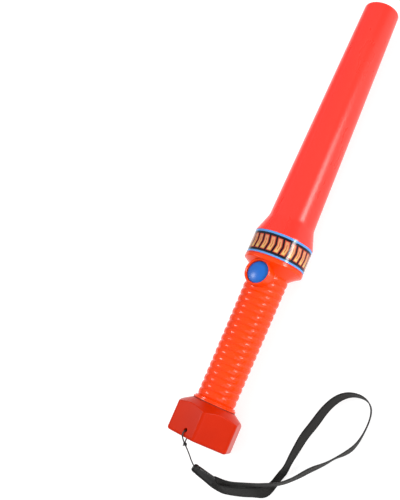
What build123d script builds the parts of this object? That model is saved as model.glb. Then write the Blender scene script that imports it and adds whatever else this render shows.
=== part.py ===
from build123d import *
import math
import os

# Traffic baton light, lying on its side.
# +X runs along the baton towards the tip, +Z is up, the table is z = 0.
# The origin is on the table, under the middle of the baton's length.
# Stations along the baton are given as distances from the end of the pommel.

os.makedirs("parts", exist_ok=True)

# ---------------------------------------------------------------- dimensions
LENGTH = 380.0            # whole baton, pommel end to tip
ZC = 24.0                 # height of the baton's axis above the table
X0 = -LENGTH / 2          # x of the pommel's end face

HEX_APOTHEM = 24.0        # half the distance across the pommel's flats
HEX_CORNER_R = 4.0        # rounding of the six long edges
HEX_END_R = 2.0           # rounding of the end face's edge
HEX_RIM_R = 1.0            # rounding where the cone meets the flats
CAP_LENGTH = 28.9         # pommel, end face to top of its cone
CAP_CONE_R = 17.3         # radius of the cone's top edge
CAP_CONE_SLOPE = 1.533    # radial millimetres per axial millimetre
CAP_BORE_R = 15.4
CAP_FLOOR = 8.0           # station of the shoulder that carries the contact
CAP_RECESS_R = 11.5
CAP_RECESS_FLOOR = 3.0
STRAP_HOLE_R = 1.7
STRAP_HOLE_S = 5.1        # station of the hole in the upper flat
STRAP_HOLE_Y = -4.0
STRAP_HOLE_DEPTH = 5.0    # depth of the end hole's axis below the flat

TAIL_S = 9.0              # station of the handle's tail end
TAIL_R = 15.0
NECK_S = 29.7             # station where the neck's first ring stands
GRIP_BORE_R = 13.25
RIB_PITCH = 5.5
RIB_DEPTH = 0.8
RIB_COUNT = 19
RIB_END_S = 137.05        # station of the last valley, at the cone's foot
RIB_R_LOW = 15.35         # crest radius near the pommel
RIB_R_HIGH = 15.95        # crest radius near the button
RIM_R = 24.0
RIM_S = 144.6
COLLAR_S = 147.4          # end of the rim, start of the light tube
SPIGOT_R = 21.6
SPIGOT_BORE_R = 19.9
SPIGOT_END_S = 162.0
LEDGE_S = 145.0

SKIRT_R = 23.4
SKIRT_BORE_R = 21.9
FLARE_S = 166.9
FLARE_R = 23.9
TUBE_BASE_S = 182.5
TUBE_BASE_R = 18.8
TUBE_TIP_R = 14.52
TUBE_WALL = 1.5

BUTTON_S = 133.7          # station of the button's axis
BUTTON_TILT = 10.0        # degrees from +Z towards -Y
BOSS_R = 10.7
BOSS_TOP = 20.8           # height of the boss above the baton's axis
BUTTON_R = 8.8
BUTTON_HOLE_R = 9.05
BUTTON_TRAVEL = 1.2
BUTTON_EDGE_H = 18.7      # height of the button's edge above the baton's axis
BUTTON_TOP_H = 20.4       # height of its crown
BOARD_TOP = 8.1           # height of the switch board's upper face
BOARD_T = 1.6

CELL_R = 12.95
CELL_BODY = 48.3
CELL_LENGTH = 50.0
CELL_S = 14.0             # station of the rear cell's flat end

SCREW_CIRCLE_R = 16.6     # circle of the three long screws

WEB_TUBE_D = 3.6          # round stand-in for the flat webbing
STRAP_CORD_D = 1.2


def sx(station):
    """x of a station measured from the pommel's end face"""
    return X0 + station


def dome_height(radius, edge_radius, edge_height, top_height):
    """height of a spherical dome at a radius, from its edge and its crown"""
    rise = top_height - edge_height
    sphere = (edge_radius**2 + rise**2) / (2 * rise)
    return top_height - sphere + math.sqrt(sphere**2 - radius**2)


def rib_crest(station):
    return RIB_R_LOW + (RIB_R_HIGH - RIB_R_LOW) * (station - 36.0) / (130.0 - 36.0)


# Sketch plane through the baton's axis: local x is X, local y is the radius.
AXIAL = Plane(origin=(0, 0, ZC), x_dir=(1, 0, 0), z_dir=(0, -1, 0))
BATON_AXIS = Axis((0, 0, ZC), (1, 0, 0))

# Button frame: local x is X, local z points out through the button.
BETA = math.radians(BUTTON_TILT)
UP = (0, -math.sin(BETA), math.cos(BETA))
BUTTON_ORIGIN = (sx(BUTTON_S), 0, ZC)
BUTTON_PLANE = Plane(origin=BUTTON_ORIGIN, x_dir=(1, 0, 0), z_dir=UP)
BUTTON_SECTION = Plane(
    origin=BUTTON_ORIGIN, x_dir=(1, 0, 0), z_dir=(0, -math.cos(BETA), -math.sin(BETA))
)
BUTTON_AXIS = Axis(BUTTON_ORIGIN, UP)


def cross_plane(station):
    """plane across the baton: local x is sideways, local y points to the button"""
    return Plane(
        origin=(sx(station), 0, ZC),
        x_dir=(0, math.cos(BETA), math.sin(BETA)),
        z_dir=(1, 0, 0),
    )


def on_button(ds, side, height):
    """point given along the baton from the button, sideways, and out from the axis"""
    return BUTTON_PLANE.from_local_coords(Vector(ds, side, height))


SCREW_SPOTS = [
    (SCREW_CIRCLE_R * math.cos(math.radians(a)), SCREW_CIRCLE_R * math.sin(math.radians(a)))
    for a in (-90, 30, 150)
]


def arc_radii(points):
    """largest tangent arc for each corner: 0.45 of the shorter run over tan(turn/2)"""
    radii = []
    for a, b, c in zip(points, points[1:], points[2:]):
        run_in, run_out = Vector(*b) - Vector(*a), Vector(*c) - Vector(*b)
        turn = math.radians(run_in.get_angle(run_out))
        radii.append(0.45 * min(run_in.length, run_out.length) / math.tan(turn / 2))
    return radii


def report_cord(name, part, length, diameter, radii):
    expected = math.pi * diameter**2 / 4 * length
    print(
        f"{name}: length {length:.1f}, smallest arc {min(radii):.1f}, "
        f"volume / (section x length) {part.volume / expected:.4f}"
    )


# ---------------------------------------------------------------- light tube
with BuildPart() as light_tube:
    with BuildSketch(AXIAL) as section:
        with BuildLine():
            Polyline(
                (sx(COLLAR_S + 0.2), SKIRT_BORE_R),
                (sx(COLLAR_S + 0.2), SKIRT_R),
                (sx(FLARE_S), SKIRT_R),
                (sx(FLARE_S), FLARE_R),
                (sx(FLARE_S + 0.5), FLARE_R),
                (sx(TUBE_BASE_S), TUBE_BASE_R),
                (sx(LENGTH), TUBE_TIP_R),
                (sx(LENGTH), 0),
                (sx(LENGTH - 2), 0),
                (sx(LENGTH - 2), TUBE_TIP_R - TUBE_WALL),
                (sx(TUBE_BASE_S - 0.6), TUBE_BASE_R - TUBE_WALL),
                (sx(165.5), 20.4),
                (sx(165.5), SKIRT_BORE_R),
                close=True,
            )
        make_face()
        fillet(section.vertices().sort_by_distance((sx(TUBE_BASE_S), TUBE_BASE_R))[0:1], 12)
        fillet(section.vertices().sort_by_distance((sx(LENGTH), TUBE_TIP_R))[0:1], 1.8)
    revolve(axis=BATON_AXIS)
light_tube.part.label = "light_tube"

with BuildPart() as label_band:
    with BuildSketch(cross_plane(COLLAR_S + 0.5)):
        Circle(SKIRT_R + 0.4)
        Circle(SKIRT_R + 0.02, mode=Mode.SUBTRACT)
    extrude(amount=FLARE_S - COLLAR_S - 0.7)
label_band.part.label = "label_band"

# ---------------------------------------------------------------- handle
with BuildPart() as handle_body:
    with BuildSketch(AXIAL):
        with BuildLine():
            valleys = [RIB_END_S - RIB_PITCH * k for k in range(RIB_COUNT, -1, -1)]
            first = (sx(valleys[0]), rib_crest(valleys[0]) - RIB_DEPTH)
            Polyline(
                (sx(TAIL_S), 0),
                (sx(TAIL_S), TAIL_R),
                (sx(NECK_S), TAIL_R),
                (sx(NECK_S), 17.2),
                (sx(NECK_S + 0.9), 17.2),
                (sx(NECK_S + 1.3), 16.3),
                (sx(NECK_S + 2.0), 16.3),
                (sx(NECK_S + 2.4), 15.4),
                first,
            )
            for s0, s1 in zip(valleys, valleys[1:]):
                mid = (s0 + s1) / 2
                ThreePointArc(
                    (sx(s0), rib_crest(s0) - RIB_DEPTH),
                    (sx(mid), rib_crest(mid)),
                    (sx(s1), rib_crest(s1) - RIB_DEPTH),
                )
            ThreePointArc(
                (sx(RIB_END_S), rib_crest(RIB_END_S) - RIB_DEPTH),
                (sx(140.3), 18.6),
                (sx(143.6), 23.1),
            )
            ThreePointArc((sx(143.6), 23.1), (sx(143.95), 23.72), (sx(RIM_S), RIM_R))
            Polyline(
                (sx(RIM_S), RIM_R),
                (sx(COLLAR_S - 0.5), RIM_R),
                (sx(COLLAR_S), RIM_R - 0.5),
                (sx(COLLAR_S), SPIGOT_R),
                (sx(152), SPIGOT_R),
                (sx(152), SPIGOT_R - 1.1),
                (sx(154), SPIGOT_R - 1.1),
                (sx(154), SPIGOT_R),
                (sx(SPIGOT_END_S), SPIGOT_R),
                (sx(SPIGOT_END_S), 0),
                (sx(TAIL_S), 0),
            )
        make_face()
    revolve(axis=BATON_AXIS)
    # boss around the button
    with BuildSketch(BUTTON_SECTION):
        with BuildLine():
            Polyline(
                (0, 4), (BOSS_R + 0.3, 4), (BOSS_R, BOSS_TOP - 0.7),
                (BOSS_R - 0.6, BOSS_TOP), (0, BOSS_TOP), close=True,
            )
        make_face()
    revolve(axis=BUTTON_AXIS)
    # battery bore, open ledge and lamp chamber
    with BuildSketch(AXIAL):
        with BuildLine():
            Polyline(
                (sx(TAIL_S), 0), (sx(TAIL_S), GRIP_BORE_R), (sx(LEDGE_S), GRIP_BORE_R),
                (sx(LEDGE_S), SPIGOT_BORE_R), (sx(SPIGOT_END_S), SPIGOT_BORE_R),
                (sx(SPIGOT_END_S), 0), close=True,
            )
        make_face()
    revolve(axis=BATON_AXIS, mode=Mode.SUBTRACT)
    # button well: wide below for the flange, a lip above, and a clear mouth
    with BuildSketch(BUTTON_SECTION):
        with BuildLine():
            Polyline(
                (0, 4), (9.8, 4), (9.8, 16.9), (BUTTON_HOLE_R, 16.9),
                (BUTTON_HOLE_R, 19.9), (9.75, BOSS_TOP), (10.2, BOSS_TOP),
                (10.2, 32), (0, 32), close=True,
            )
        make_face()
    revolve(axis=BUTTON_AXIS, mode=Mode.SUBTRACT)
    # groove for the return strip, opposite the button
    with BuildSketch(cross_plane(TAIL_S)):
        with Locations((0, -GRIP_BORE_R)):
            Rectangle(4.4, 1.0)
    extrude(amount=119 - TAIL_S, mode=Mode.SUBTRACT)
    # pilot holes in the ledge
    with BuildSketch(cross_plane(LEDGE_S)):
        with Locations(*SCREW_SPOTS):
            Circle(1.15)
    extrude(amount=-4.2, mode=Mode.SUBTRACT)
handle_body.part.label = "handle_body"

# ---------------------------------------------------------------- end cap
with BuildPart() as end_cap:
    with BuildSketch(Plane(origin=(X0, 0, ZC), x_dir=(0, 1, 0), z_dir=(1, 0, 0))):
        RegularPolygon(radius=HEX_APOTHEM, side_count=6, major_radius=False)
    extrude(amount=CAP_LENGTH)
    fillet(end_cap.edges().filter_by(Axis.X), HEX_CORNER_R)
    fillet(end_cap.faces().sort_by(Axis.X)[0].edges(), HEX_END_R)
    # cone that turns the hexagon down to the neck
    with BuildSketch(AXIAL):
        with BuildLine():
            Polyline(
                (X0 - 1, 0), (X0 - 1, 34),
                (sx(CAP_LENGTH - (34 - CAP_CONE_R) / CAP_CONE_SLOPE), 34),
                (sx(CAP_LENGTH), CAP_CONE_R), (sx(CAP_LENGTH), 0), close=True,
            )
        make_face()
    revolve(axis=BATON_AXIS, mode=Mode.INTERSECT)
    # soft edge where the cone meets the flats
    cone_face = end_cap.faces().filter_by(GeomType.CONE)[0]
    fillet(cone_face.edges().filter_by(GeomType.CIRCLE, reverse=True), HEX_RIM_R)
    # bore for the handle's tail, and a lightening recess under the contact
    with BuildSketch(AXIAL):
        with BuildLine():
            Polyline(
                (sx(CAP_RECESS_FLOOR), 0), (sx(CAP_RECESS_FLOOR), CAP_RECESS_R),
                (sx(CAP_FLOOR), CAP_RECESS_R), (sx(CAP_FLOOR), CAP_BORE_R),
                (sx(CAP_LENGTH + 1), CAP_BORE_R), (sx(CAP_LENGTH + 1), 0), close=True,
            )
        make_face()
    revolve(axis=BATON_AXIS, mode=Mode.SUBTRACT)
    # two holes that meet behind the corner and leave a bar for the strap
    with BuildSketch(Plane(origin=(sx(STRAP_HOLE_S), STRAP_HOLE_Y, ZC + HEX_APOTHEM + 1), z_dir=(0, 0, -1))):
        Circle(STRAP_HOLE_R)
    extrude(amount=1 + STRAP_HOLE_DEPTH + STRAP_HOLE_R, mode=Mode.SUBTRACT)
    with BuildSketch(Plane(origin=(X0 - 1, STRAP_HOLE_Y, ZC + HEX_APOTHEM - STRAP_HOLE_DEPTH), z_dir=(1, 0, 0))):
        Circle(STRAP_HOLE_R)
    extrude(amount=1 + STRAP_HOLE_S, mode=Mode.SUBTRACT)
end_cap.part.label = "end_cap"

with BuildPart() as cap_gasket:
    with BuildSketch(cross_plane(CAP_LENGTH + 0.03)):
        Circle(17.0)
        Circle(TAIL_R + 0.2, mode=Mode.SUBTRACT)
    extrude(amount=NECK_S - CAP_LENGTH - 0.06)
cap_gasket.part.label = "cap_gasket"

with BuildPart() as rear_contact:
    with BuildSketch(cross_plane(CAP_FLOOR)):
        Circle(CAP_BORE_R - 0.3)
    extrude(amount=0.5)
rear_contact.part.label = "rear_contact"

with BuildPart() as rear_spring:
    with BuildLine() as coil:
        Helix(
            pitch=1.5, height=4.45, radius=8.0, center=(sx(9.0), 0, ZC),
            direction=(1, 0, 0), cone_angle=-32,
        )
    with BuildSketch(Plane(origin=coil.line @ 0, z_dir=coil.line % 0)):
        Circle(0.42)
    sweep(is_frenet=True)
rear_spring.part.label = "rear_spring"

# ---------------------------------------------------------------- cells
with BuildPart() as battery_rear:
    with BuildSketch(AXIAL) as section:
        with BuildLine():
            Polyline(
                (sx(CELL_S), 0), (sx(CELL_S), CELL_R), (sx(CELL_S + CELL_BODY), CELL_R),
                (sx(CELL_S + CELL_BODY), 3.3), (sx(CELL_S + CELL_LENGTH), 3.3),
                (sx(CELL_S + CELL_LENGTH), 0), close=True,
            )
        make_face()
        fillet(section.vertices().group_by(Axis.Y)[-1], 0.8)
    revolve(axis=BATON_AXIS)
battery_rear.part.label = "battery_rear"

with BuildPart() as battery_front:
    add(battery_rear.part.moved(Location((CELL_LENGTH, 0, 0))))
battery_front.part.label = "battery_front"

CONTACT_S = CELL_S + 2 * CELL_LENGTH
with BuildPart() as front_contact:
    with BuildSketch(cross_plane(CONTACT_S + 0.02)):
        Circle(6.0)
    extrude(amount=0.5)
    with BuildSketch(cross_plane(CONTACT_S + 0.52)):
        Circle(1.2)
    extrude(amount=3.6)
front_contact.part.label = "front_contact"

with BuildPart() as return_strip:
    with BuildSketch(cross_plane(TAIL_S - 0.4)):
        with Locations((0, -(GRIP_BORE_R + 0.3))):
            Rectangle(3.8, 0.36)
    extrude(amount=117.5 - TAIL_S + 0.4)
    with BuildSketch(cross_plane(TAIL_S - 0.4)):
        with Locations((0, -(GRIP_BORE_R + 0.85))):
            Rectangle(3.8, 1.46)
    extrude(amount=0.36)
return_strip.part.label = "return_strip"

# ---------------------------------------------------------------- chassis and board
with BuildPart() as chassis:
    # flange on the ledge
    with BuildSketch(cross_plane(LEDGE_S)):
        Circle(SPIGOT_BORE_R - 0.3)
    extrude(amount=2)
    # three posts that carry the lamp board
    with BuildSketch(cross_plane(LEDGE_S + 2)):
        with Locations(*SCREW_SPOTS):
            Circle(2.6)
    extrude(amount=3)
    # bulkhead in front of the cells
    with BuildSketch(cross_plane(CONTACT_S + 0.6)):
        Circle(GRIP_BORE_R - 0.25)
        with Locations((0, -GRIP_BORE_R)):
            Rectangle(6, 4, mode=Mode.SUBTRACT)
    extrude(amount=2.2)
    # two rails under the switch board
    with BuildSketch(cross_plane(CONTACT_S + 2.8)):
        with Locations((-7, 5.0), (7, 5.0)):
            Rectangle(4, 3)
    extrude(amount=LEDGE_S - CONTACT_S - 2.8)
    # rivet hole, screw holes, window for the lamp leads
    with BuildSketch(cross_plane(CONTACT_S)):
        Circle(1.25)
    extrude(amount=6, mode=Mode.SUBTRACT)
    with BuildSketch(cross_plane(LEDGE_S - 1)):
        with Locations(*SCREW_SPOTS):
            Circle(1.25)
    extrude(amount=8, mode=Mode.SUBTRACT)
    with BuildSketch(cross_plane(LEDGE_S - 1)):
        with Locations((0, 9.6)):
            Rectangle(10, 5)
        Circle(3.0)
    extrude(amount=4, mode=Mode.SUBTRACT)
    with BuildSketch(BUTTON_PLANE.offset(BOARD_TOP - BOARD_T)):
        with Locations((-11.5, 7), (-11.5, -7)):
            Circle(1.0)
    extrude(amount=-2.6, mode=Mode.SUBTRACT)
chassis.part.label = "chassis"

with BuildPart() as switch_board:
    with BuildSketch(BUTTON_PLANE.offset(BOARD_TOP - BOARD_T)):
        with Locations((-2, 0)):
            RectangleRounded(24, 18.4, 1.0)
        with Locations((-11.5, 7), (-11.5, -7)):
            Circle(1.0, mode=Mode.SUBTRACT)
    extrude(amount=BOARD_T)
switch_board.part.label = "switch_board"

with BuildPart() as board_screws:
    with BuildSketch(BUTTON_PLANE.offset(BOARD_TOP - BOARD_T - 2.4)):
        with Locations((-11.5, 7), (-11.5, -7)):
            Circle(0.95)
    extrude(amount=2.4 + BOARD_T)
    with BuildSketch(BUTTON_PLANE.offset(BOARD_TOP)):
        with Locations((-11.5, 7), (-11.5, -7)):
            Circle(1.8)
    extrude(amount=1.1)
    with BuildSketch(BUTTON_PLANE.offset(BOARD_TOP + 1.1)):
        with Locations((-11.5, 7), (-11.5, -7)):
            Rectangle(2.4, 0.5)
            Rectangle(0.5, 2.4)
    extrude(amount=-0.6, mode=Mode.SUBTRACT)
board_screws.part.label = "board_screws"

with BuildPart() as board_components:
    with BuildSketch(BUTTON_PLANE.offset(BOARD_TOP)):
        with Locations((-9.4, 2.2)):
            Rectangle(4.0, 5.0)
        with Locations((7.2, 6.2), (7.2, -6.2)):
            Rectangle(2.0, 1.2)
    extrude(amount=1.2)
    with BuildSketch(BUTTON_PLANE.offset(BOARD_TOP)):
        with Locations((-9.2, -3.0)):
            Circle(1.7)
    extrude(amount=3.8)
board_components.part.label = "board_components"

with BuildPart() as switch_body:
    with BuildSketch(BUTTON_PLANE.offset(BOARD_TOP)):
        RectangleRounded(6, 6, 0.5)
    extrude(amount=3.5)
    with BuildSketch(BUTTON_PLANE.offset(BOARD_TOP + 0.3)):
        Circle(1.85)
    extrude(amount=4, mode=Mode.SUBTRACT)
switch_body.part.label = "switch_body"

with BuildPart() as switch_plunger:
    with BuildSketch(BUTTON_PLANE.offset(BOARD_TOP + 1.6)):
        Circle(1.75)
    extrude(amount=3.0)
    fillet(switch_plunger.edges().sort_by(BUTTON_AXIS)[-1], 0.3)
switch_plunger.part.label = "switch_plunger"

# ---------------------------------------------------------------- button
with BuildPart() as button:
    with BuildSketch(BUTTON_SECTION) as section:
        with BuildLine():
            Polyline(
                (0, 12.8), (1.9, 12.8), (1.9, 17.4), (7.5, 17.0), (7.5, 15.3),
                (9.55, 15.3), (9.55, 16.8), (BUTTON_R, 16.8), (BUTTON_R, BUTTON_EDGE_H),
            )
            ThreePointArc(
                (BUTTON_R, BUTTON_EDGE_H),
                (BUTTON_R / 2, dome_height(BUTTON_R / 2, BUTTON_R, BUTTON_EDGE_H, BUTTON_TOP_H)),
                (0, BUTTON_TOP_H),
            )
            Line((0, BUTTON_TOP_H), (0, 12.8))
        make_face()
        fillet(section.vertices().sort_by_distance((BUTTON_R, BUTTON_EDGE_H))[0:1], 0.7)
    revolve(axis=BUTTON_AXIS)
button.part.label = "button"

with BuildPart() as button_spring:
    with BuildLine() as coil:
        Helix(
            pitch=2.05, height=8.3, radius=5.4,
            center=tuple(on_button(0, 0, BOARD_TOP + 0.35)), direction=UP,
        )
    with BuildSketch(Plane(origin=coil.line @ 0, z_dir=coil.line % 0)):
        Circle(0.27)
    sweep(is_frenet=True)
button_spring.part.label = "button_spring"

# ---------------------------------------------------------------- lamp
with BuildPart() as led_board:
    with BuildSketch(cross_plane(LEDGE_S + 5)):
        Circle(SPIGOT_BORE_R - 0.5)
        with Locations(*SCREW_SPOTS):
            Circle(1.25, mode=Mode.SUBTRACT)
    extrude(amount=1.6)
led_board.part.label = "led_board"

LAMP_S = LEDGE_S + 6.6
LED_SPOTS = [(0.0, 0.0)] + [
    (5.7 * math.cos(math.radians(72 * k + 90)), 5.7 * math.sin(math.radians(72 * k + 90)))
    for k in range(5)
]
with BuildPart() as leds:
    with BuildSketch(cross_plane(LAMP_S)):
        with Locations(*LED_SPOTS):
            Circle(2.75)
    extrude(amount=1.0)
    with BuildSketch(cross_plane(LAMP_S + 1.0)):
        with Locations(*LED_SPOTS):
            Circle(2.45)
    extrude(amount=6.6)
    fillet(leds.edges().group_by(Axis.X)[-1], 2.2)
leds.part.label = "leds"

with BuildPart() as reflector:
    with BuildSketch(AXIAL):
        with BuildLine():
            Polyline(
                (sx(LAMP_S + 0.1), 9.2), (sx(LAMP_S + 0.1), 10.2),
                (sx(SPIGOT_END_S - 0.6), 19.6), (sx(SPIGOT_END_S), 19.6), (sx(SPIGOT_END_S), 21.5),
                (sx(SPIGOT_END_S + 1.3), 21.5), (sx(SPIGOT_END_S + 1.3), 19.4), close=True,
            )
        make_face()
    revolve(axis=BATON_AXIS)
reflector.part.label = "reflector"

with BuildPart() as lens:
    with BuildSketch(AXIAL):
        with BuildLine():
            Polyline(
                (sx(168.2), 0), (sx(SPIGOT_END_S + 1.4), 0), (sx(SPIGOT_END_S + 1.4), 21.5),
                (sx(165.4), 21.5), (sx(165.4), 19.8),
            )
            ThreePointArc((sx(165.4), 19.8), (sx(dome_height(9.9, 19.8, 165.4, 168.2)), 9.9), (sx(168.2), 0))
        make_face()
    revolve(axis=BATON_AXIS)
lens.part.label = "lens"

with BuildPart() as head_seal:
    with BuildSketch(AXIAL):
        with Locations((sx(153), 21.2)):
            Circle(0.66)
    revolve(axis=BATON_AXIS)
head_seal.part.label = "head_seal"

with BuildPart() as head_screws:
    with BuildSketch(cross_plane(LEDGE_S - 3.8)):
        with Locations(*SCREW_SPOTS):
            Circle(1.1)
    extrude(amount=LAMP_S - LEDGE_S + 3.8)
    with BuildSketch(cross_plane(LAMP_S)):
        with Locations(*SCREW_SPOTS):
            Circle(2.2)
    extrude(amount=1.4)
    with BuildSketch(cross_plane(LAMP_S + 1.4)):
        with Locations(*SCREW_SPOTS):
            Rectangle(2.8, 0.6)
            Rectangle(0.6, 2.8)
    extrude(amount=-0.7, mode=Mode.SUBTRACT)
head_screws.part.label = "head_screws"


# ---------------------------------------------------------------- leads and strap
def tube_path(points):
    radii = arc_radii(points)
    return FilletPolyline(*points, radius=radii), radii


LEADS = {
    "lead_positive": [
        on_button(-15.4, 0, 0), on_button(-13.4, 0, 0.4), on_button(-11.9, 0, 2.6), on_button(-11.2, 0, 6.45),
    ],
    "lead_negative": [
        on_button(-16.1, 0, -12.6), on_button(-13.9, 0.6, -10.2), on_button(-12.2, 1.6, -5.6),
        on_button(-10.6, 2.6, 0.2), on_button(-9.6, 3.0, 6.45),
    ],
    "lead_led_red": [
        on_button(8.7, 3.0, 8.25), on_button(8.9, 3.0, 9.5), on_button(11.2, 3.0, 10.2), on_button(16.2, 3.0, 9.6),
    ],
    "lead_led_black": [
        on_button(8.7, -3.0, 8.25), on_button(8.9, -3.0, 9.5), on_button(11.2, -3.0, 10.2), on_button(16.2, -3.0, 9.6),
    ],
}
lead_parts = {}
for lead_name, lead_points in LEADS.items():
    with BuildPart() as lead:
        with BuildLine() as route:
            _, lead_radii = tube_path([tuple(p) for p in lead_points])
        with BuildSketch(Plane(origin=route.line @ 0, z_dir=route.line % 0)):
            Circle(0.6)
        sweep()
    lead.part.label = lead_name
    report_cord(lead_name, lead.part, route.wire().length, 1.2, lead_radii)
    lead_parts[lead_name] = lead

# The strap's cord: from the knot through the end hole, out of the upper hole,
# over the bar, through the knot and down to the sleeve.
KNOT = (-194.4, -5.0, 43.4)
CORD_ROUTE = [
    (-193.3, -4.0, 43.0), (-190.4, -3.9, 42.9), (-187.2, -4.0, 42.7), (-185.3, -4.0, 43.9),
    (-185.1, -4.0, 46.4), (-185.5, -4.0, 48.5), (-187.0, -4.0, 49.3), (-189.2, -4.2, 49.0),
    (-191.0, -4.4, 47.5), (-192.8, -4.7, 45.5), (-194.4, -5.0, 43.4), (-197.0, -5.0, 39.2),
    (-200.3, -5.1, 34.4), (-204.6, -5.3, 29.0), (-208.3, -6.2, 23.6),
]
with BuildPart() as strap_cord:
    with BuildLine() as route:
        _, cord_radii = tube_path(CORD_ROUTE)
    with BuildSketch(Plane(origin=route.line @ 0, z_dir=route.line % 0)):
        Circle(STRAP_CORD_D / 2)
    sweep()
strap_cord.part.label = "strap_cord"
report_cord("strap_cord", strap_cord.part, route.wire().length, STRAP_CORD_D, cord_radii)

# Knot below the bar, round the cord.
with BuildPart() as strap_knot:
    with Locations(KNOT):
        Sphere(1.9)
strap_knot.part.label = "strap_knot"

# The webbing: out of the sleeve, along the table, round the loop and back.
WEB_ROUTE = [
    (-214.2, -14.8, 10.4), (-215.9, -18.8, 5.0), (-215.9, -25.6, 1.8), (-211.9, -36.1, 1.8),
    (-207.1, -47.1, 1.8), (-201.7, -57.0, 1.8), (-193.4, -63.3, 1.8), (-182.3, -65.6, 1.8),
    (-169.3, -67.0, 1.8), (-155.6, -69.6, 1.8), (-142.1, -73.1, 1.8), (-129.8, -77.6, 1.8),
    (-120.6, -83.1, 1.9), (-115.1, -89.4, 2.4), (-112.9, -95.9, 3.2), (-113.3, -102.1, 4.0),
    (-115.7, -107.5, 4.6), (-120.2, -111.8, 5.0), (-127.0, -113.6, 5.2), (-135.4, -113.1, 5.2),
    (-145.2, -110.2, 5.2), (-155.0, -103.0, 4.9), (-165.3, -94.0, 5.0), (-175.3, -84.1, 5.0),
    (-185.2, -74.1, 5.7), (-193.2, -62.5, 6.3), (-199.3, -49.9, 5.2), (-205.2, -38.2, 2.8),
    (-211.0, -27.5, 1.8), (-211.7, -20.6, 4.4), (-210.4, -16.0, 10.0),
]
with BuildPart() as strap_webbing:
    with BuildLine() as route:
        _, web_radii = tube_path(WEB_ROUTE)
    with BuildSketch(Plane(origin=route.line @ 0, z_dir=route.line % 0)):
        Circle(WEB_TUBE_D / 2)
    sweep()
strap_webbing.part.label = "strap_webbing"
report_cord("strap_webbing", strap_webbing.part, route.wire().length, WEB_TUBE_D, web_radii)

# Sleeve that joins cord and webbing: narrow at the cord, wide at the webbing.
SLEEVE_START = Vector(-208.0, -5.5, 24.6)
SLEEVE_DIR = Vector(-0.2389, -0.5501, -0.8002).normalized()
SLEEVE_SIDE = Vector(-0.9519, 0.2954, 0.0812)
with BuildPart() as strap_sleeve:
    for along, width, thick in ((0, 5.4, 3.6), (3.0, 6.8, 4.6), (18.8, 8.8, 4.8)):
        with BuildSketch(
            Plane(origin=SLEEVE_START + SLEEVE_DIR * along, x_dir=SLEEVE_SIDE, z_dir=SLEEVE_DIR)
        ):
            RectangleRounded(width, thick, 1.6)
    loft()
    add(strap_cord.part, mode=Mode.SUBTRACT)
    add(strap_webbing.part, mode=Mode.SUBTRACT)
strap_sleeve.part.label = "strap_sleeve"

# ---------------------------------------------------------------- export
PIECES = {
    "light_tube": light_tube, "label_band": label_band, "handle_body": handle_body,
    "end_cap": end_cap, "cap_gasket": cap_gasket, "rear_contact": rear_contact,
    "rear_spring": rear_spring, "battery_rear": battery_rear, "battery_front": battery_front,
    "front_contact": front_contact, "return_strip": return_strip, "chassis": chassis,
    "switch_board": switch_board, "board_screws": board_screws,
    "board_components": board_components, "switch_body": switch_body,
    "switch_plunger": switch_plunger, "button": button, "button_spring": button_spring,
    "led_board": led_board, "leds": leds, "reflector": reflector, "lens": lens,
    "head_seal": head_seal, "head_screws": head_screws,
    "strap_cord": strap_cord, "strap_knot": strap_knot, "strap_sleeve": strap_sleeve,
    "strap_webbing": strap_webbing, **lead_parts,
}
for name, piece in PIECES.items():
    export_step(piece.part, f"parts/{name}.step")
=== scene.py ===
import math

import bmesh
import bpy
from mathutils import Matrix, Vector


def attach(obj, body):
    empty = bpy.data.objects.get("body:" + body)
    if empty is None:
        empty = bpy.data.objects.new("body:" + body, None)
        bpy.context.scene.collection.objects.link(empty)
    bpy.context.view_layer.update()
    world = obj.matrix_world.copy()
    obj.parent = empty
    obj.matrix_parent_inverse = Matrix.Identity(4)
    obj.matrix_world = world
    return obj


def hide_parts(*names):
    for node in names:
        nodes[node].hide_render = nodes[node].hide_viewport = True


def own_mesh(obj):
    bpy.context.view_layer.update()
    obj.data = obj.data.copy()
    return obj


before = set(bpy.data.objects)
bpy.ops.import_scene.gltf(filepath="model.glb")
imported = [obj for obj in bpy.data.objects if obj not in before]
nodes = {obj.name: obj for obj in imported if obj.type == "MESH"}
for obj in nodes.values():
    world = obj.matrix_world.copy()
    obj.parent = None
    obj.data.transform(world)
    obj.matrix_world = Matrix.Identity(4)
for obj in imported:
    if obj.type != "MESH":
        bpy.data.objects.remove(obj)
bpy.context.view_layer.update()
scene = bpy.context.scene
scene.view_settings.view_transform = "Standard"

MM = 0.001


# ------------------------------------------------------------------ camera
def look(name, place, right, down, forward, lens):
    cam = bpy.data.objects.new(name, bpy.data.cameras.new(name))
    scene.collection.objects.link(cam)
    cam.data.lens = lens
    cam.data.sensor_width = 36.0
    cam.data.clip_start = 0.01
    cam.data.clip_end = 50.0
    m = Matrix.Identity(4)
    for i in range(3):
        m[i][0], m[i][1], m[i][2], m[i][3] = right[i], -down[i], -forward[i], place[i] * MM
    cam.matrix_world = m
    return cam


scene.camera = look(
    "camera", (-144.389, -350.170, 456.424),
    (0.40291549, -0.69126269, -0.59984582),
    (-0.90172062, -0.18759884, -0.38949531),
    (0.1567132, 0.69782704, -0.6989123), 51.65,
)


# ------------------------------------------------------------------ mesh helpers
def mesh_object(name, verts, faces, uvs=None, smooth=True):
    mesh = bpy.data.meshes.new(name)
    mesh.from_pydata([tuple(v) for v in verts], [], faces)
    mesh.update()
    if uvs is not None:
        layer = mesh.uv_layers.new(name="UVMap")
        for poly in mesh.polygons:
            for li in poly.loop_indices:
                layer.data[li].uv = uvs[mesh.loops[li].vertex_index]
    for p in mesh.polygons:
        p.use_smooth = smooth
    ob = bpy.data.objects.new(name, mesh)
    scene.collection.objects.link(ob)
    return ob


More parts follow.
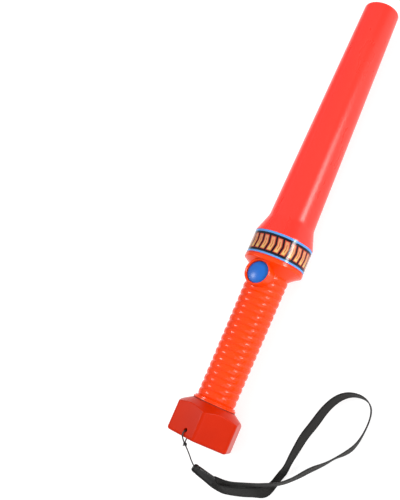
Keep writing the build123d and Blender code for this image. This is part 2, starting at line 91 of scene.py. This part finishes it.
def nurbs(name, points):
    """curve object of one open NURBS spline with these control points, in millimetres"""
    data = bpy.data.curves.new(name, "CURVE")
    data.dimensions = "3D"
    data.resolution_u = 16
    spline = data.splines.new("NURBS")
    spline.points.add(len(points) - 1)
    for p, q in zip(spline.points, points):
        p.co = (q[0] * MM, q[1] * MM, q[2] * MM, 1.0)
    spline.order_u = 3
    spline.use_endpoint_u = True
    ob = bpy.data.objects.new(name, data)
    scene.collection.objects.link(ob)
    return ob


def centre_line(points):
    """points along the NURBS spline, in metres"""
    ob = nurbs("route_tmp", points)
    dg = bpy.context.evaluated_depsgraph_get()
    mesh = bpy.data.meshes.new_from_object(ob.evaluated_get(dg))
    line = [v.co.copy() for v in mesh.vertices]
    bpy.data.meshes.remove(mesh)
    bpy.data.objects.remove(ob)
    return line


def resample(line, step):
    lengths = [0.0]
    for a, b in zip(line, line[1:]):
        lengths.append(lengths[-1] + (b - a).length)
    total = lengths[-1]
    count = max(8, round(total / step))
    out, j = [], 0
    for i in range(count + 1):
        s = total * i / count
        while j < len(lengths) - 2 and lengths[j + 1] < s:
            j += 1
        t = (s - lengths[j]) / max(1e-12, lengths[j + 1] - lengths[j])
        out.append(line[j].lerp(line[j + 1], min(max(t, 0), 1)))
    return out, total


def smooth_line(line, rounds):
    for _ in range(rounds):
        line = [line[0]] + [
            line[i] * 0.5 + (line[i - 1] + line[i + 1]) * 0.25 for i in range(1, len(line) - 1)
        ] + [line[-1]]
    return line


def tangents(line):
    out = []
    for i in range(len(line)):
        a, b = line[max(0, i - 1)], line[min(len(line) - 1, i + 1)]
        out.append((b - a).normalized())
    return out


def tube_mesh(name, line, radius, sides=12, closed=False, twist=0.0):
    """round tube along a line; radius may be a number or a function of the share 0..1"""
    n = len(line)
    verts, faces = [], []
    t0 = (line[1] - line[0]).normalized()
    side = t0.orthogonal().normalized()
    for i, p in enumerate(line):
        if closed:
            t = (line[(i + 1) % n] - line[i - 1]).normalized()
        else:
            t = (line[min(n - 1, i + 1)] - line[max(0, i - 1)]).normalized()
        side = (side - t * side.dot(t)).normalized()
        other = t.cross(side)
        r = radius(i / (n - 1)) if callable(radius) else radius
        for k in range(sides):
            a = 2 * math.pi * k / sides + twist * i
            verts.append(p + side * (r * math.cos(a)) + other * (r * math.sin(a)))
    last = n if closed else n - 1
    for i in range(last):
        j = (i + 1) % n
        for k in range(sides):
            m = (k + 1) % sides
            faces.append((i * sides + k, i * sides + m, j * sides + m, j * sides + k))
    if not closed:
        faces.append(tuple(range(sides))[::-1])
        faces.append(tuple((n - 1) * sides + k for k in range(sides)))
    return mesh_object(name, verts, faces)


# ------------------------------------------------------------------ cords: routes
CORD_ROUTE = [
    (-193.3, -4.0, 43.0), (-190.4, -3.9, 42.9), (-187.2, -4.0, 42.7), (-185.3, -4.0, 43.9),
    (-185.1, -4.0, 46.4), (-185.5, -4.0, 48.5), (-187.0, -4.0, 49.3), (-189.2, -4.2, 49.0),
    (-191.0, -4.4, 47.5), (-192.8, -4.7, 45.5), (-194.4, -5.0, 43.4), (-197.0, -5.0, 39.2),
    (-200.3, -5.1, 34.4), (-204.6, -5.3, 29.0), (-208.3, -6.2, 23.6),
]
WEB_ROUTE = [
    (-213.0, -15.6, 10.0), (-215.0, -19.4, 5.1), (-213.9, -27.0, 4.5), (-210.0, -37.8, 4.4),
    (-205.3, -49.5, 4.7), (-201.9, -56.8, 3.2), (-194.0, -60.8, 1.3), (-187.2, -62.5, 1.8),
    (-179.4, -67.1, 5.3), (-168.3, -68.4, 5.1), (-154.9, -71.0, 5.2), (-141.5, -75.3, 5.2),
    (-127.9, -79.7, 5.2), (-119.4, -85.6, 5.2), (-114.2, -93.2, 5.2), (-113.1, -102.1, 5.2),
    (-115.2, -108.6, 5.1), (-119.9, -112.2, 4.9), (-127.1, -113.3, 4.8), (-136.2, -112.6, 4.8),
    (-143.9, -110.9, 5.0), (-150.7, -107.6, 5.2), (-156.1, -102.8, 5.1), (-160.2, -98.2, 4.9),
    (-165.0, -94.1, 5.1), (-170.2, -88.4, 5.2), (-175.2, -83.5, 5.1), (-181.0, -79.1, 5.7),
    (-185.7, -74.9, 7.2), (-190.5, -70.0, 8.7), (-194.1, -63.3, 9.1), (-198.9, -53.7, 7.6),
    (-204.0, -40.7, 6.1), (-208.3, -29.0, 5.3), (-210.9, -20.8, 6.6), (-211.5, -16.4, 10.3),
]
# Roll of the webbing about its own line at those places: 0 lies flat, -90 stands on edge.
WEB_ROLL = [
    0, -44, -56, -56, -56, -36, -16, -36, -92, -89, -84, -82, -86, -86, -86, -83, -78, -66,
    -64, -65, -70, -82, -78, -69, -78, -87, -85, -83, -82, -85, -92, -99, -103, -108, -128, -180,
]
# Share of its full width at those places: the turn under the other layer is bunched up.
WEB_WIDE = [
    0.68, 0.72, 0.92, 1, 1, 0.82, 0.56, 0.52, 0.74, 0.94, 1, 1, 1, 1, 1, 1, 1, 1,
    1, 1, 1, 1, 1, 1, 1, 1, 1, 1, 1, 1, 1, 1, 1, 0.90, 0.72, 0.68,
]

SLEEVE_TOP = Vector((-208.0, -5.5, 24.6))
SLEEVE_DIR = Vector((-0.2389, -0.5501, -0.8002)).normalized()
SLEEVE_SIDE = Vector((-0.9519, 0.2954, 0.0812)).normalized()
SLEEVE_OUT = SLEEVE_SIDE.cross(SLEEVE_DIR).normalized()

cord_path, CORD_LENGTH = resample(centre_line(CORD_ROUTE), 0.0005)

web_line = centre_line(WEB_ROUTE)
web_path, WEB_LENGTH = resample(web_line, 0.0012)


def spread_along(path, values, rounds=30):
    """the value for each point of the path, from the nearest places on the route"""
    marks, j = [], 0
    for p, r in zip(WEB_ROUTE, values):
        q = Vector(p) * MM
        hi = min(len(path), j + int(0.045 / 0.0012))
        j = min(range(j, hi), key=lambda i: (path[i] - q).length)
        marks.append((j, r))
    marks[0] = (0, values[0])
    marks[-1] = (len(path) - 1, values[-1])
    out, k = [], 0
    for i in range(len(path)):
        while k < len(marks) - 2 and marks[k + 1][0] <= i:
            k += 1
        (a, ra), (b, rb) = marks[k], marks[k + 1]
        t = 0 if b == a else min(max((i - a) / (b - a), 0), 1)
        out.append(ra + (rb - ra) * t)
    for _ in range(rounds):
        out = [out[0]] + [
            out[i] * 0.5 + (out[i - 1] + out[i + 1]) * 0.25 for i in range(1, len(out) - 1)
        ] + [out[-1]]
    return out


def webbing(name, path, width, thick):
    """flat woven strap: rounded edges, a selvedge and lengthwise ribs on both faces"""
    rolls = [math.radians(r) for r in spread_along(path, WEB_ROLL, 12)]
    wides = spread_along(path, WEB_WIDE, 8)
    tan = tangents(path)
    top = 41
    section = []
    for side in (1, -1):
        for k in range(top):
            x = (k / (top - 1) - 0.5) * side
            edge = min(1.0, (0.5 - abs(x)) / 0.035)
            rib = 0.055 * math.cos(2 * math.pi * x * 11) * (1 if abs(x) < 0.43 else 0)
            groove = -0.16 * math.exp(-(((abs(x) - 0.425) / 0.012) ** 2))
            h = 0.5 * math.sqrt(max(0.0, 1 - (1 - edge) ** 2)) + (rib + groove) * (edge >= 1)
            section.append((x, h * side))
    ring = len(section)
    verts, uvs, faces = [], [], []
    run = 0.0
    for i, p in enumerate(path):
        if i:
            run += (p - path[i - 1]).length
        t = tan[i]
        up = Vector((0, 0, 1))
        up = (up - t * up.dot(t)).normalized()
        left = up.cross(t)
        n = up * math.cos(rolls[i]) + left * math.sin(rolls[i])
        w = t.cross(n)
        squeeze = wides[i]
        cup = (1 - squeeze) * 0.0016
        wave = 0.00012 * math.sin(run * 310) + 0.00009 * math.sin(run * 173 + 1.3)
        for x, h in section:
            verts.append(p + w * (x * width * squeeze + wave) + n * (h * thick + cup * (4 * x * x - 0.4)))
            uvs.append((run / 0.01, x + 0.5 + (2.0 if h < 0 else 0)))
    for i in range(len(path) - 1):
        for k in range(ring):
            m = (k + 1) % ring
            faces.append((i * ring + k, (i + 1) * ring + k, (i + 1) * ring + m, i * ring + m))
    faces.append(tuple(range(ring)))
    faces.append(tuple((len(path) - 1) * ring + k for k in range(ring))[::-1])
    return mesh_object(name, verts, faces, uvs)


web = webbing("strap_webbing_woven", web_path, 0.0100, 0.00080)


def superellipse(a, wide, thick, power):
    c, s = math.cos(a), math.sin(a)
    return (
        wide / 2 * math.copysign(abs(c) ** (2 / power), c),
        thick / 2 * math.copysign(abs(s) ** (2 / power), s),
    )


def sleeve_piece(name):
    """soft moulded sleeve: rounded nose at the cord, a collar line, and an open mouth"""
    rows = [
        (-0.35, 3.0, 2.0, 2.2), (-0.2, 4.6, 3.2, 2.4), (0.15, 5.5, 3.8, 2.6), (0.8, 6.1, 4.15, 2.8),
        (2.2, 6.4, 4.4, 3.0), (2.9, 6.45, 4.4, 3.0), (3.2, 6.15, 4.1, 3.0), (3.6, 6.15, 4.1, 3.0),
        (3.9, 6.55, 4.45, 3.0), (6.0, 6.7, 4.5, 3.0), (9.0, 6.85, 4.45, 3.1), (12.0, 7.0, 4.4, 3.2),
        (15.0, 7.25, 4.35, 3.3), (17.4, 7.55, 4.4, 3.4), (18.3, 7.75, 4.55, 3.4), (18.8, 7.7, 4.5, 3.4),
        (18.9, 7.4, 3.9, 3.4), (18.5, 7.15, 3.3, 3.6), (16.0, 7.05, 3.2, 3.6),
    ]
    sides, verts, faces = 48, [], []
    for i, (s, wide, thick, power) in enumerate(rows):
        bend = 0.35 * math.sin(math.pi * min(max(s / 18.8, 0), 1))
        centre = SLEEVE_TOP + SLEEVE_DIR * s + SLEEVE_OUT * bend
        for k in range(sides):
            u, v = superellipse(2 * math.pi * k / sides, wide, thick, power)
            pinch = 1.0 - 0.10 * math.exp(-((u / 1.6) ** 2)) * min(1.0, max(0.0, (s - 4) / 6))
            verts.append((centre + SLEEVE_SIDE * u + SLEEVE_OUT * (v * pinch)) * MM)
    for i in range(len(rows) - 1):
        for k in range(sides):
            m = (k + 1) % sides
            faces.append((i * sides + k, i * sides + m, (i + 1) * sides + m, (i + 1) * sides + k))
    faces.append(tuple(range(sides))[::-1])
    faces.append(tuple((len(rows) - 1) * sides + k for k in range(sides)))
    ob = mesh_object(name, verts, faces)
    bm = bmesh.new()
    bm.from_mesh(ob.data)
    bmesh.ops.recalc_face_normals(bm, faces=bm.faces)
    bm.to_mesh(ob.data)
    bm.free()
    mod = ob.modifiers.new("round", "SUBSURF")
    mod.levels = mod.render_levels = 1
    return ob


cord = tube_mesh("strap_cord_thin", cord_path, 0.00050, sides=14)
sleeve = sleeve_piece("strap_sleeve_moulded")

# The cord's knot: an overhand knot drawn tight.
knot_centre = Vector((-194.4, -5.0, 43.4)) * MM
loop = []
for i in range(120):
    a = 2 * math.pi * i / 120
    loop.append(Vector((
        math.sin(a) + 2 * math.sin(2 * a),
        math.cos(a) - 2 * math.cos(2 * a),
        -1.15 * math.sin(3 * a),
    )))
axis = Vector((-0.52, -0.05, -0.85)).normalized()
turn = Vector((0, 0, 1)).rotation_difference(axis).to_matrix()
knot_line = [knot_centre + turn @ (p * 0.00046) for p in loop]
knot = tube_mesh("strap_knot_tied", knot_line, 0.00053, sides=12, closed=True)

for piece, node, slot in (
    (cord, "strap_cord", "cord_fibre"), (knot, "strap_knot", "cord_fibre"),
    (sleeve, "strap_sleeve", "sleeve_plastic"), (web, "strap_webbing", "webbing"),
):
    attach(piece, "cap")
    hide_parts(node)


# ------------------------------------------------------------------ materials
def new_material(name):
    mat = bpy.data.materials.new(name)
    mat.use_nodes = True
    tree = mat.node_tree
    bsdf = tree.nodes.get("Principled BSDF")
    return mat, tree, bsdf


def node(tree, kind, **values):
    n = tree.nodes.new(kind)
    for key, value in values.items():
        setattr(n, key, value)
    return n


def coords(tree, scale=(1, 1, 1)):
    tc = node(tree, "ShaderNodeTexCoord")
    mp = node(tree, "ShaderNodeMapping")
    mp.inputs["Scale"].default_value = scale
    tree.links.new(tc.outputs["Object"], mp.inputs["Vector"])
    return mp.outputs["Vector"]


def noise(tree, vector, scale, detail=4.0, rough=0.55):
    n = node(tree, "ShaderNodeTexNoise")
    n.inputs["Scale"].default_value = scale
    n.inputs["Detail"].default_value = detail
    n.inputs["Roughness"].default_value = rough
    tree.links.new(vector, n.inputs["Vector"])
    return n.outputs["Fac"]


def ramp(tree, fac, stops):
    r = node(tree, "ShaderNodeValToRGB")
    els = r.color_ramp.elements
    while len(els) > 1:
        els.remove(els[-1])
    els[0].position, els[0].color = stops[0][0], (*stops[0][1], 1)
    for pos, col in stops[1:]:
        e = els.new(pos)
        e.color = (*col, 1)
    tree.links.new(fac, r.inputs["Fac"])
    return r.outputs["Color"]


def spread(tree, fac, low, high):
    m = node(tree, "ShaderNodeMapRange")
    m.inputs["To Min"].default_value = low
    m.inputs["To Max"].default_value = high
    tree.links.new(fac, m.inputs["Value"])
    return m.outputs["Result"]


def bump(tree, bsdf, height, strength, distance):
    b = node(tree, "ShaderNodeBump")
    b.inputs["Strength"].default_value = strength
    b.inputs["Distance"].default_value = distance
    tree.links.new(height, b.inputs["Height"])
    tree.links.new(b.outputs["Normal"], bsdf.inputs["Normal"])
    return b


def moulded(name, dark, light, rough=(0.24, 0.34), peel=900, strength=0.05, spec=0.5, coat=0.0,
            coat_rough=0.1, streak=(1, 1, 1), sss=0.0, sss_radius=(0.006, 0.001, 0.0006)):
    """moulded plastic: slow colour drift, uneven gloss and a fine orange-peel surface"""
    mat, tree, bsdf = new_material(name)
    v = coords(tree, streak)
    tree.links.new(ramp(tree, noise(tree, v, 22, 3), [(0.3, dark), (0.7, light)]), bsdf.inputs["Base Color"])
    tree.links.new(spread(tree, noise(tree, v, 60, 5), *rough), bsdf.inputs["Roughness"])
    bump(tree, bsdf, noise(tree, coords(tree), peel, 3), strength, 0.0002)
    bsdf.inputs["Specular IOR Level"].default_value = spec
    bsdf.inputs["Coat Weight"].default_value = coat
    bsdf.inputs["Coat Roughness"].default_value = coat_rough
    if sss:
        bsdf.inputs["Subsurface Weight"].default_value = sss
        bsdf.inputs["Subsurface Radius"].default_value = sss_radius
        bsdf.inputs["Subsurface Scale"].default_value = 1.0
    return mat


def metal(name, dark, light, rough=(0.2, 0.4), grain=(4, 60, 60), scale=200):
    mat, tree, bsdf = new_material(name)
    v = coords(tree, grain)
    fac = noise(tree, v, scale, 3)
    tree.links.new(ramp(tree, fac, [(0.3, dark), (0.7, light)]), bsdf.inputs["Base Color"])
    tree.links.new(spread(tree, fac, *rough), bsdf.inputs["Roughness"])
    bsdf.inputs["Metallic"].default_value = 1.0
    bump(tree, bsdf, fac, 0.06, 0.0001)
    return mat


red_tube = moulded(
    "red_tube", (0.92, 0.023, 0.013), (0.98, 0.030, 0.017), rough=(0.25, 0.31), peel=500,
    strength=0.02, spec=0.36, streak=(0.3, 1, 1),
)
orange = moulded(
    "orange_moulded", (0.74, 0.038, 0.0004), (0.84, 0.048, 0.0008), rough=(0.19, 0.26), peel=700,
    strength=0.04, spec=0.22,
)
# Painted shade: the end cap gets a darker copy of the handle's orange, standing in for the shade that falls on the
# pommel.
cap_orange_painted_shade = moulded(
    "cap_moulded_painted_shade", (0.45, 0.014, 0.0003), (0.52, 0.019, 0.0006), rough=(0.26, 0.34), peel=700,
    strength=0.05, spec=0.08,
)
seal_red = moulded("seal_red", (0.22, 0.012, 0.003), (0.30, 0.018, 0.005), rough=(0.5, 0.65), peel=1500, strength=0.15, spec=0.2)
blue = moulded(
    "blue_button", (0.002, 0.094, 0.410), (0.003, 0.118, 0.490), rough=(0.26, 0.33), peel=900,
    strength=0.03, spec=0.35,
)
rubber = moulded("black_rubber", (0.012, 0.012, 0.012), (0.03, 0.028, 0.026), rough=(0.5, 0.65), peel=1500, strength=0.15)
white = moulded("white_moulded", (0.70, 0.70, 0.67), (0.82, 0.82, 0.79), rough=(0.4, 0.5))
black = moulded("black_moulded", (0.012, 0.012, 0.013), (0.03, 0.03, 0.032), rough=(0.32, 0.45))
board = moulded("board_mask", (0.012, 0.10, 0.035), (0.02, 0.16, 0.06), rough=(0.25, 0.35), peel=1200)
resin = moulded("led_resin", (0.62, 0.05, 0.04), (0.75, 0.09, 0.07), rough=(0.08, 0.14), coat=0.5, coat_rough=0.05)
wire_red = moulded("wire_red", (0.42, 0.012, 0.012), (0.55, 0.02, 0.02), rough=(0.4, 0.5))
wire_black = moulded("wire_black", (0.012, 0.012, 0.012), (0.03, 0.03, 0.03), rough=(0.4, 0.5))
steel = metal("plated_steel", (0.55, 0.55, 0.53), (0.75, 0.75, 0.73))
zinc = metal("zinc_screw", (0.48, 0.48, 0.48), (0.66, 0.66, 0.66), rough=(0.3, 0.45))
brass = metal("brass_strip", (0.62, 0.42, 0.16), (0.80, 0.60, 0.26))
mirror = metal("reflector_coating", (0.84, 0.84, 0.84), (0.90, 0.90, 0.90), rough=(0.05, 0.10))

# Clear lens.
clear, tree, bsdf = new_material("clear_lens")
bsdf.inputs["Base Color"].default_value = (0.95, 0.96, 0.96, 1)
bsdf.inputs["Transmission Weight"].default_value = 1.0
bsdf.inputs["IOR"].default_value = 1.49
tree.links.new(spread(tree, noise(tree, coords(tree), 150, 3), 0.02, 0.07), bsdf.inputs["Roughness"])

# Cell jacket: dark body with a plain copper-coloured band at the top end.
cell, tree, bsdf = new_material("cell_jacket")
sep = node(tree, "ShaderNodeSeparateXYZ")
tree.links.new(coords(tree), sep.inputs[0])
wrapx = node(tree, "ShaderNodeMath", operation="PINGPONG")
wrapx.inputs[1].default_value = 0.05
off = node(tree, "ShaderNodeMath", operation="ADD")
off.inputs[1].default_value = 0.176
tree.links.new(sep.outputs["X"], off.inputs[0])
frac = node(tree, "ShaderNodeMath", operation="MODULO")
frac.inputs[1].default_value = 0.05
tree.links.new(off.outputs[0], frac.inputs[0])
share = node(tree, "ShaderNodeMath", operation="DIVIDE")
share.inputs[1].default_value = 0.05
tree.links.new(frac.outputs[0], share.inputs[0])
r = node(tree, "ShaderNodeValToRGB")
r.color_ramp.interpolation = "CONSTANT"
r.color_ramp.elements[0].position, r.color_ramp.elements[0].color = 0.0, (0.03, 0.03, 0.035, 1)
r.color_ramp.elements[1].position, r.color_ramp.elements[1].color = 0.70, (0.62, 0.34, 0.12, 1)
e = r.color_ramp.elements.new(0.955)
e.color = (0.7, 0.7, 0.7, 1)
tree.links.new(share.outputs[0], r.inputs["Fac"])
tree.links.new(r.outputs["Color"], bsdf.inputs["Base Color"])
tree.links.new(spread(tree, noise(tree, coords(tree), 300, 3), 0.22, 0.34), bsdf.inputs["Roughness"])
bsdf.inputs["Metallic"].default_value = 0.6


# Printed band: blue edge lines on black, and between them a generic row of slanted blocks.
def band_material():
    mat, tree, bsdf = new_material("printed_band")
    L = tree.links
    tc = node(tree, "ShaderNodeTexCoord")
    s = node(tree, "ShaderNodeSeparateXYZ")
    L.new(tc.outputs["Object"], s.inputs[0])

    def math_node(op, a, b=None, c=None, clamp=False):
        n = node(tree, "ShaderNodeMath", operation=op)
        n.use_clamp = clamp
        for i, v in enumerate((a, b, c)):
            if v is None:
                continue
            if isinstance(v, (int, float)):
                n.inputs[i].default_value = v
            else:
                L.new(v, n.inputs[i])
        return n.outputs[0]

    # u: millimetres round the band; v: 0 at the rim side, 1 at the tube side
    zc = math_node("SUBTRACT", s.outputs["Z"], 0.024)
    ny = math_node("MULTIPLY", s.outputs["Y"], -1.0)
    angle = math_node("ARCTAN2", ny, zc)
    u = math_node("MULTIPLY", angle, 23.8)
    v = math_node("DIVIDE", math_node("SUBTRACT", s.outputs["X"], -0.0421), 0.0185)
    pitch = 2 * math.pi * 23.8 / 26
    # each block leans and is wider at one end, like a chevron cut in half
    vc = math_node("SUBTRACT", v, 0.5)
    bent = math_node("ABSOLUTE", vc)
    lean = math_node("MULTIPLY_ADD", bent, 3.6, u)
    cellpos = math_node("WRAP", lean, pitch, 0.0)
    d = math_node("ABSOLUTE", math_node("SUBTRACT", cellpos, pitch / 2))
    # distance to the block's edge, in millimetres: positive inside
    side = math_node("SUBTRACT", 2.12, d)
    high = math_node("MULTIPLY", math_node("SUBTRACT", 0.325, bent), 18.5)
    inside = math_node("MINIMUM", side, high)
    fill = math_node("GREATER_THAN", inside, 0.70)
    outline = math_node("GREATER_THAN", inside, 0.0)
    stripe_mid = math_node("GREATER_THAN", 0.30, math_node("ABSOLUTE", math_node("SUBTRACT", d, 0.0)))
    hole = math_node("MULTIPLY", stripe_mid, math_node("GREATER_THAN", 0.17, bent))
    fill = math_node("MULTIPLY", fill, math_node("SUBTRACT", 1.0, hole))
    edge = math_node("GREATER_THAN", bent, 0.425)
    edge_dark = math_node("GREATER_THAN", bent, 0.375)

    speck = node(tree, "ShaderNodeTexNoise")
    speck.inputs["Scale"].default_value = 900
    L.new(tc.outputs["Object"], speck.inputs["Vector"])
    grade = node(tree, "ShaderNodeValToRGB")
    grade.color_ramp.elements[0].position, grade.color_ramp.elements[0].color = 0.25, (0.62, 0.42, 0.13, 1)
    grade.color_ramp.elements[1].position, grade.color_ramp.elements[1].color = 0.75, (0.60, 0.24, 0.12, 1)
    L.new(v, grade.inputs["Fac"])

    def mix(fac, a, b):
        n = node(tree, "ShaderNodeMix", data_type="RGBA")
        L.new(fac, n.inputs[0])
        for sock, col in ((n.inputs[6], a), (n.inputs[7], b)):
            if isinstance(col, tuple):
                sock.default_value = (*col, 1)
            else:
                L.new(col, sock)
        return n.outputs[2]

    base = mix(outline, (0.002, 0.002, 0.003), (0.46, 0.045, 0.03))
    base = mix(fill, base, grade.outputs["Color"])
    base = mix(edge_dark, base, (0.006, 0.012, 0.03))
    base = mix(edge, base, (0.10, 0.30, 0.68))
    tint = node(tree, "ShaderNodeMix", data_type="RGBA", blend_type="MULTIPLY")
    tint.inputs[0].default_value = 0.25
    L.new(base, tint.inputs[6])
    L.new(speck.outputs["Fac"], tint.inputs[7])
    L.new(tint.outputs[2], bsdf.inputs["Base Color"])
    L.new(spread(tree, speck.outputs["Fac"], 0.12, 0.20), bsdf.inputs["Roughness"])
    bsdf.inputs["Specular IOR Level"].default_value = 0.22
    b = node(tree, "ShaderNodeBump")
    b.inputs["Strength"].default_value = 0.2
    b.inputs["Distance"].default_value = 0.00005
    L.new(outline, b.inputs["Height"])
    L.new(b.outputs["Normal"], bsdf.inputs["Normal"])
    return mat


band = band_material()


# Webbing: ribs from the mesh, and a fine twill over them.
def webbing_material():
    mat, tree, bsdf = new_material("webbing_weave")
    L = tree.links
    tc = node(tree, "ShaderNodeTexCoord")
    mp = node(tree, "ShaderNodeMapping")
    mp.inputs["Scale"].default_value = (1.0, 1.0, 1.0)
    L.new(tc.outputs["UV"], mp.inputs["Vector"])
    wave = node(tree, "ShaderNodeTexWave", wave_type="BANDS", bands_direction="X")
    wave.inputs["Scale"].default_value = 3.6
    wave.inputs["Distortion"].default_value = 0.6
    wave.inputs["Detail"].default_value = 1.0
    L.new(mp.outputs["Vector"], wave.inputs["Vector"])
    ribs = node(tree, "ShaderNodeTexWave", wave_type="BANDS", bands_direction="Y")
    ribs.inputs["Scale"].default_value = 3.5
    ribs.inputs["Distortion"].default_value = 0.2
    L.new(mp.outputs["Vector"], ribs.inputs["Vector"])
    fuzz = noise(tree, coords(tree), 1800, 4)
    slow = noise(tree, coords(tree), 45, 2)
    add = node(tree, "ShaderNodeMath", operation="MULTIPLY")
    L.new(wave.outputs["Fac"], add.inputs[0])
    L.new(ribs.outputs["Fac"], add.inputs[1])
    both = node(tree, "ShaderNodeMath", operation="MULTIPLY_ADD")
    L.new(fuzz, both.inputs[0])
    both.inputs[1].default_value = 0.5
    L.new(add.outputs[0], both.inputs[2])
    colour = ramp(tree, both.outputs[0], [(0.15, (0.004, 0.0038, 0.0035)), (0.75, (0.014, 0.013, 0.012)), (1.0, (0.028, 0.026, 0.024))])
    mix = node(tree, "ShaderNodeMix", data_type="RGBA", blend_type="MULTIPLY")
    mix.inputs[0].default_value = 0.5
    L.new(colour, mix.inputs[6])
    L.new(ramp(tree, slow, [(0.3, (0.75, 0.75, 0.75)), (0.7, (1.0, 1.0, 1.0))]), mix.inputs[7])
    across = node(tree, "ShaderNodeSeparateXYZ")
    L.new(tc.outputs["UV"], across.inputs[0])
    wrapped = node(tree, "ShaderNodeMath", operation="FRACT")
    L.new(across.outputs["Y"], wrapped.inputs[0])
    off = node(tree, "ShaderNodeMath", operation="SUBTRACT")
    L.new(wrapped.outputs[0], off.inputs[0])
    off.inputs[1].default_value = 0.5
    far = node(tree, "ShaderNodeMath", operation="ABSOLUTE")
    L.new(off.outputs[0], far.inputs[0])
    # Lighter down the middle of each face, darker in a line near each edge over the selvedge groove.
    mid_light_edge_dark = node(tree, "ShaderNodeMix", data_type="RGBA", blend_type="MULTIPLY")
    mid_light_edge_dark.inputs[0].default_value = 1.0
    L.new(mix.outputs[2], mid_light_edge_dark.inputs[6])
    L.new(ramp(tree, far.outputs[0], [(0.0, (1.25, 1.22, 1.2)), (0.36, (1.0, 1.0, 1.0)), (0.41, (0.35, 0.35, 0.35)), (0.5, (0.5, 0.5, 0.5))]), mid_light_edge_dark.inputs[7])
    L.new(mid_light_edge_dark.outputs[2], bsdf.inputs["Base Color"])
    L.new(spread(tree, fuzz, 0.62, 0.8), bsdf.inputs["Roughness"])
    bsdf.inputs["Sheen Weight"].default_value = 0.06
    bsdf.inputs["Specular IOR Level"].default_value = 0.25
    bsdf.inputs["Sheen Roughness"].default_value = 0.4
    bump(tree, bsdf, both.outputs[0], 0.6, 0.00012)
    return mat


weave = webbing_material()


def cord_material():
    mat, tree, bsdf = new_material("cord_braid")
    L = tree.links
    v = coords(tree, (1, 1, 1))
    wave = node(tree, "ShaderNodeTexWave", wave_type="BANDS", bands_direction="DIAGONAL")
    wave.inputs["Scale"].default_value = 260
    wave.inputs["Distortion"].default_value = 1.5
    L.new(v, wave.inputs["Vector"])
    L.new(ramp(tree, wave.outputs["Fac"], [(0.2, (0.004, 0.004, 0.004)), (0.8, (0.018, 0.017, 0.016))]), bsdf.inputs["Base Color"])
    L.new(spread(tree, noise(tree, v, 900, 3), 0.45, 0.65), bsdf.inputs["Roughness"])
    bump(tree, bsdf, wave.outputs["Fac"], 0.7, 0.00015)
    return mat


braid = cord_material()
sleeve_mat = moulded(
    "sleeve_soft", (0.003, 0.003, 0.003), (0.008, 0.0075, 0.007), rough=(0.24, 0.36), peel=1300, strength=0.12, spec=0.22,
)


def paint(ob, mat):
    ob.data.materials.clear()
    ob.data.materials.append(mat)


CAD_LOOKS = {
    "light_tube": red_tube, "label_band": band, "handle_body": orange, "end_cap": cap_orange_painted_shade,
    "cap_gasket": seal_red, "rear_contact": steel, "rear_spring": steel, "battery_rear": cell,
    "battery_front": cell, "front_contact": steel, "return_strip": brass, "chassis": white,
    "switch_board": board, "board_screws": zinc, "board_components": black, "switch_body": black,
    "switch_plunger": white, "button": blue, "button_spring": steel, "led_board": board,
    "leds": resin, "reflector": mirror, "lens": clear, "head_seal": rubber, "head_screws": zinc,
    "lead_positive": wire_red, "lead_negative": wire_black, "lead_led_red": wire_red,
    "lead_led_black": wire_black,
    "strap_cord": braid, "strap_knot": braid, "strap_sleeve": sleeve_mat, "strap_webbing": weave,
}
for name, mat in CAD_LOOKS.items():
    ob = nodes[name]
    if ob.material_slots:
        for s in ob.material_slots:
            s.material = mat
    else:
        paint(ob, mat)
paint(cord, braid)
paint(knot, braid)
paint(sleeve, sleeve_mat)
paint(web, weave)

# The button's spring: a copy of its coil, painted steel and attached to the baton body.
coil = bpy.data.objects.new("button_spring_coil", nodes["button_spring"].data.copy())
scene.collection.objects.link(coil)
paint(coil, steel)
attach(coil, "baton")
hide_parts("button_spring")
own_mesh(coil)

# ------------------------------------------------------------------ floor and light
floor = mesh_object("floor", [(-4, -4, 0), (4, -4, 0), (4, 4, 0), (-4, 4, 0)], [(0, 1, 2, 3)], smooth=False)
floor.location.z = -0.0002
fmat, tree, bsdf = new_material("pale_floor")
tree.links.new(
    ramp(tree, noise(tree, coords(tree), 3, 2), [(0.3, (0.34, 0.34, 0.34)), (0.7, (0.38, 0.38, 0.38))]),
    bsdf.inputs["Base Color"],
)
bsdf.inputs["Roughness"].default_value = 0.9
bsdf.inputs["Specular IOR Level"].default_value = 0.1
bsdf.inputs["Emission Color"].default_value = (1.0, 1.0, 1.0, 1)
bsdf.inputs["Emission Strength"].default_value = 0.78
paint(floor, fmat)

world = bpy.data.worlds.new("studio")
scene.world = world
world.use_nodes = True
bg = world.node_tree.nodes["Background"]
bg.inputs["Color"].default_value = (1.0, 1.0, 1.0, 1.0)
bg.inputs["Strength"].default_value = 0.46


def softbox(name, place, aim, wide, high, power, colour=(1, 1, 1)):
    data = bpy.data.lights.new(name, "AREA")
    data.shape = "RECTANGLE"
    data.size, data.size_y = wide, high
    data.energy = power
    data.color = colour
    ob = bpy.data.objects.new(name, data)
    scene.collection.objects.link(ob)
    ob.location = place
    d = (Vector(aim) - Vector(place)).normalized()
    ob.rotation_euler = d.to_track_quat("-Z", "Y").to_euler()
    return ob


softbox("ceiling", (0.0, 0.47, 1.30), (0.0, 0.47, 0.0), 3.2, 3.4, 15.0)
softbox("front", (-0.50, -1.05, 0.62), (-0.12, 0, 0.02), 0.9, 0.9, 5.5)
softbox("strip_right", (0.235, -0.62, 0.14), (0.03, 0, 0.024), 0.20, 0.20, 1.5)
softbox("strip_band", (0.095, -0.64, 0.18), (-0.035, 0, 0.03), 0.09, 0.13, 1.6)
softbox("small_back", (-0.14, 0.32, 0.62), (-0.10, 0, 0.02), 0.10, 0.10, 1.6)

# ------------------------------------------------------------------ update
bpy.context.view_layer.update()
